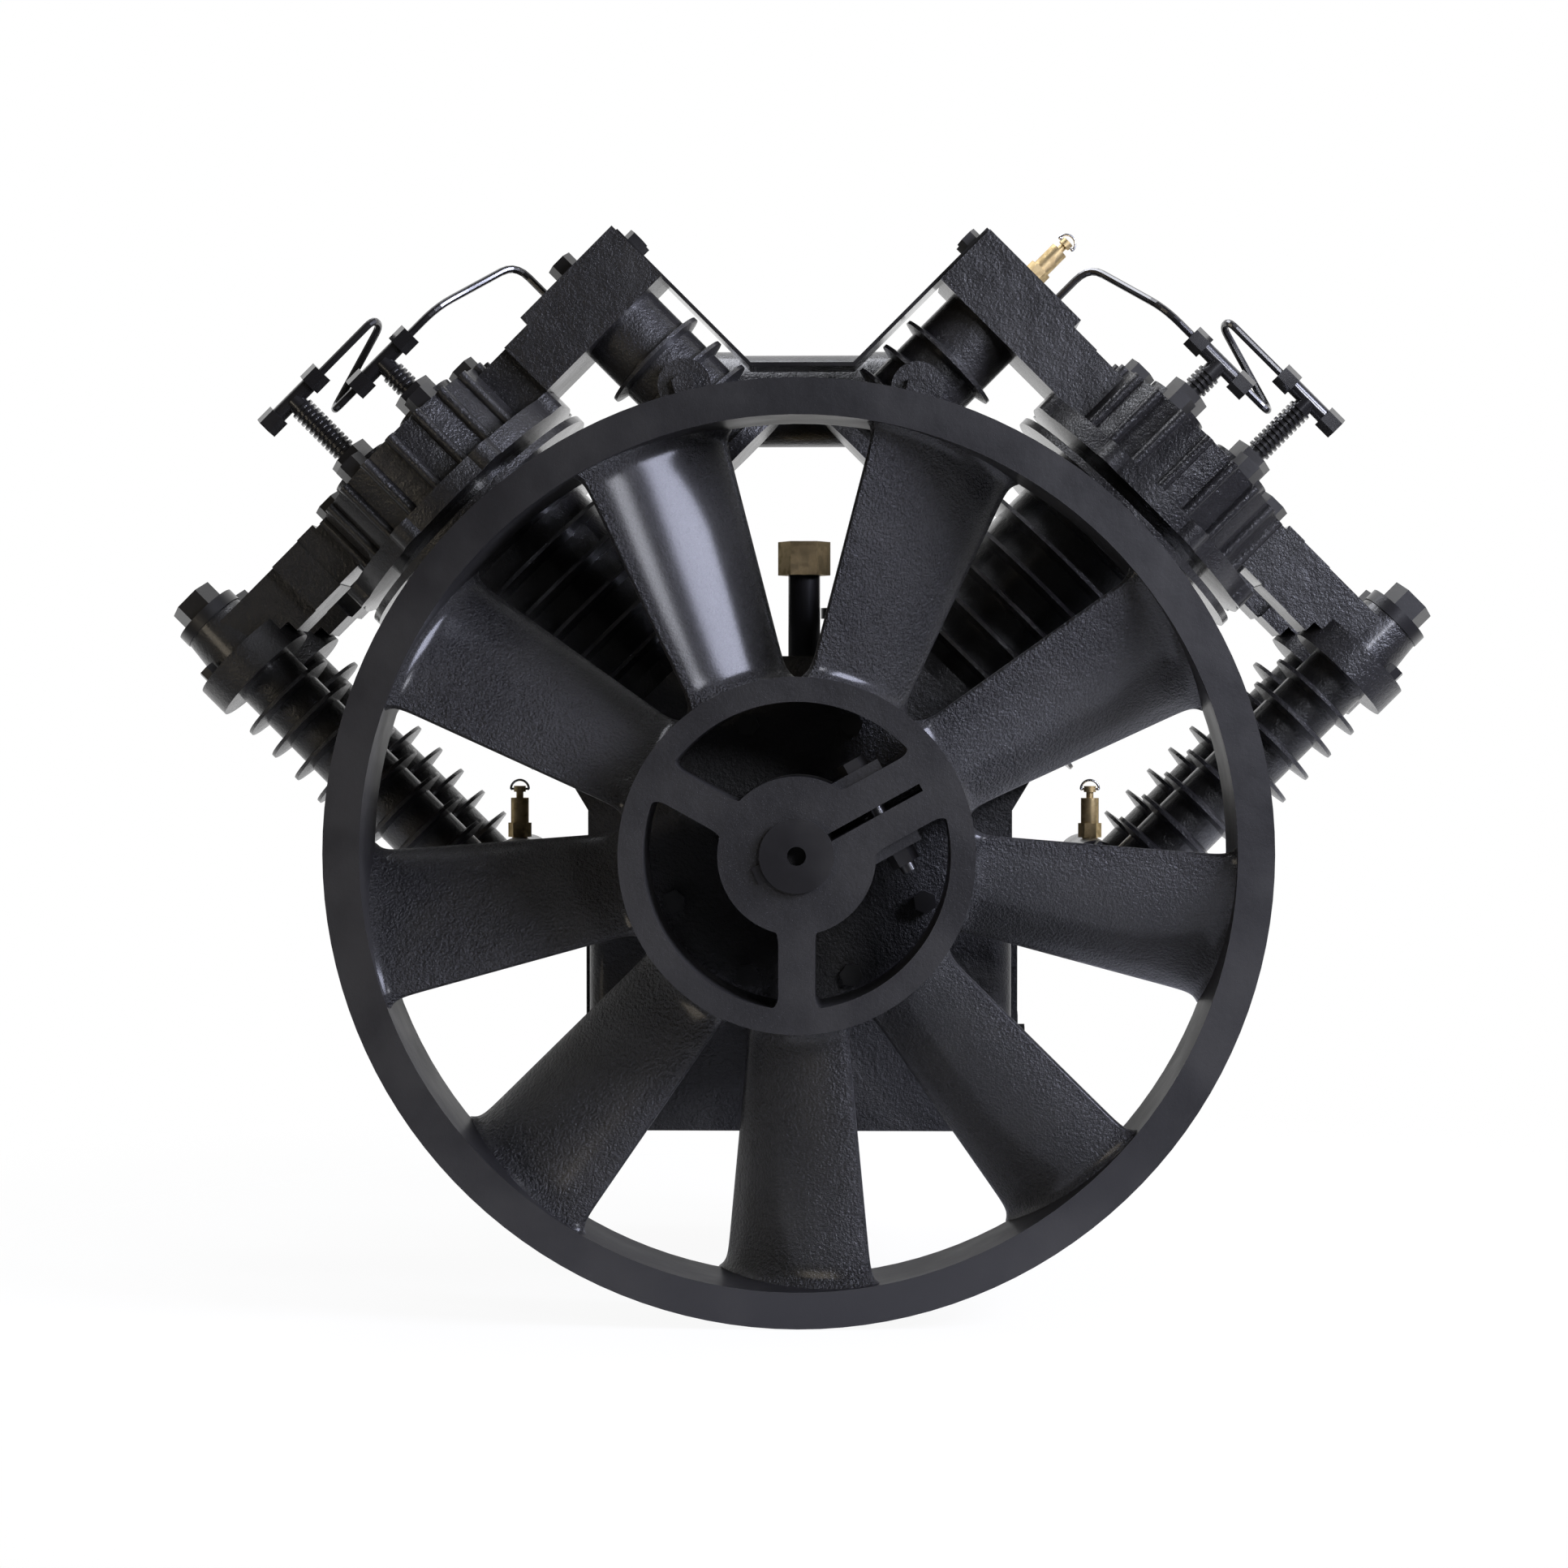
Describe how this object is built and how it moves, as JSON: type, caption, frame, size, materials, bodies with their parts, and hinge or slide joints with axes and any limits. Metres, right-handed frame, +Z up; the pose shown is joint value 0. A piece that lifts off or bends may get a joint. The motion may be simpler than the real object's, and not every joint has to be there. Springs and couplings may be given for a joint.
{
  "type": "air compressor pump head",
  "caption": "V-form two-stage reciprocating air compressor pump with finned cylinders, ribbed heads, finned coolers, unloader lines and a bladed flywheel",
  "frame": {"origin": "middle of the crankcase mounting face", "axes": "+Z up from the mounting face, crankshaft along Y with the flywheel towards -Y, banks lean to -X and +X"},
  "size_m": [1.0248, 0.571, 0.8514],
  "materials": {
    "black_casting": "gloss black enamel over sand-cast iron",
    "black_enamel": "gloss black enamel over machined steel",
    "brass": "turned brass, slightly dull",
    "steel": "machined steel",
    "bare_iron": "bare iron, oiled",
    "piston_alloy": "machined alloy",
    "gasket_sheet": "compressed sheet",
    "seal_rubber": "moulded rubber",
    "sight_glass": "clear glass"
  },
  "bodies": {
    "casting": {"crankcase": "black_casting", "front_bearing_carrier": "black_casting", "rear_bearing_carrier": "black_casting", "side_covers": "black_enamel", "case_bolts": "black_enamel", "oil_filler_pipe": "black_enamel", "filler_cap": "brass", "crankcase_breather": "black_enamel", "oil_sight_glass": "sight_glass", "drain_plug": "black_enamel", "bearing_cups": "steel", "shaft_seal": "seal_rubber", "crankpins": "steel", "connecting_rods": "bare_iron", "pistons": "piston_alloy", "piston_rings": "bare_iron", "wrist_pins": "steel", "lp_cylinder_left": "black_casting", "lp_cylinder_right": "black_casting", "second_cylinders": "black_casting", "cylinder_nuts": "black_enamel", "lp_head_left": "black_casting", "lp_head_right": "black_casting", "second_heads": "black_casting", "head_gaskets": "gasket_sheet", "head_bolts": "black_enamel", "valve_assemblies": "steel", "valve_caps": "black_enamel", "unloader_fittings": "black_enamel", "unloader_tubes": "black_enamel", "discharge_block_left": "black_casting", "discharge_block_right": "black_casting", "aftercooler_left": "black_casting", "aftercooler_right": "black_casting", "cross_pipe": "black_enamel", "tie_strap": "black_enamel", "manifold_bolts": "black_enamel", "duct_flanges": "black_enamel", "cooler_caps": "black_casting", "cap_plugs": "black_enamel", "intercooler_left": "black_casting", "intercooler_right": "black_casting", "intercooler_headers": "black_casting", "relief_bodies": "brass"},
    "rotor": {"crankshaft": "steel", "bearing_cones": "steel", "flywheel_rim": "black_casting", "fan_blades": "black_casting", "flywheel_hub": "black_casting", "flywheel_key": "steel", "hub_clamp_bolts": "black_enamel"},
    "stem_left": {"relief_stem_left": "steel"},
    "ring_left": {"relief_ring_left": "steel"},
    "stem_right": {"relief_stem_right": "steel"},
    "ring_right": {"relief_ring_right": "steel"},
    "stem_top": {"relief_stem_top": "steel"},
    "ring_top": {"relief_ring_top": "steel"},
    "plungers_left": {"unloader_plungers_left": "steel"},
    "plungers_right": {"unloader_plungers_right": "steel"}
  },
  "joints": [
    {"name": "crankshaft_spin", "type": "hinge", "parent": "casting", "child": "rotor", "pos_m": [0, 0, 0.22], "axis": [0, 1, 0], "continuous": true},
    {"name": "relief_lift_left", "type": "slide", "parent": "casting", "child": "stem_left", "axis": [0, 0, 1], "range_m": [0, 0.003], "stiffness_N_per_m": 4000},
    {"name": "relief_ring_swing_left", "type": "hinge", "parent": "stem_left", "child": "ring_left", "pos_m": [-0.23971, 0.0055, 0.26199], "axis": [1, 0, 0], "range_deg": [-95, 95]},
    {"name": "relief_lift_right", "type": "slide", "parent": "casting", "child": "stem_right", "axis": [0, 0, 1], "range_m": [0, 0.003], "stiffness_N_per_m": 4000},
    {"name": "relief_ring_swing_right", "type": "hinge", "parent": "stem_right", "child": "ring_right", "pos_m": [0.23971, 0.0055, 0.26199], "axis": [1, 0, 0], "range_deg": [-95, 95]},
    {"name": "relief_lift_top", "type": "slide", "parent": "casting", "child": "stem_top", "axis": [0.7071, 0, 0.7071], "range_m": [0, 0.003], "stiffness_N_per_m": 4000},
    {"name": "relief_ring_swing_top", "type": "hinge", "parent": "stem_top", "child": "ring_top", "pos_m": [0.2139, -0.07575, 0.70684], "axis": [0.7071, 0, -0.7071], "range_deg": [-95, 95]},
    {"name": "unloader_stroke_left", "type": "slide", "parent": "casting", "child": "plungers_left", "axis": [0.7071, 0, -0.7071], "range_m": [0, 0.0025], "stiffness_N_per_m": 3000},
    {"name": "unloader_stroke_right", "type": "slide", "parent": "casting", "child": "plungers_right", "axis": [-0.7071, 0, -0.7071], "range_m": [0, 0.0025], "stiffness_N_per_m": 3000}
  ]
}
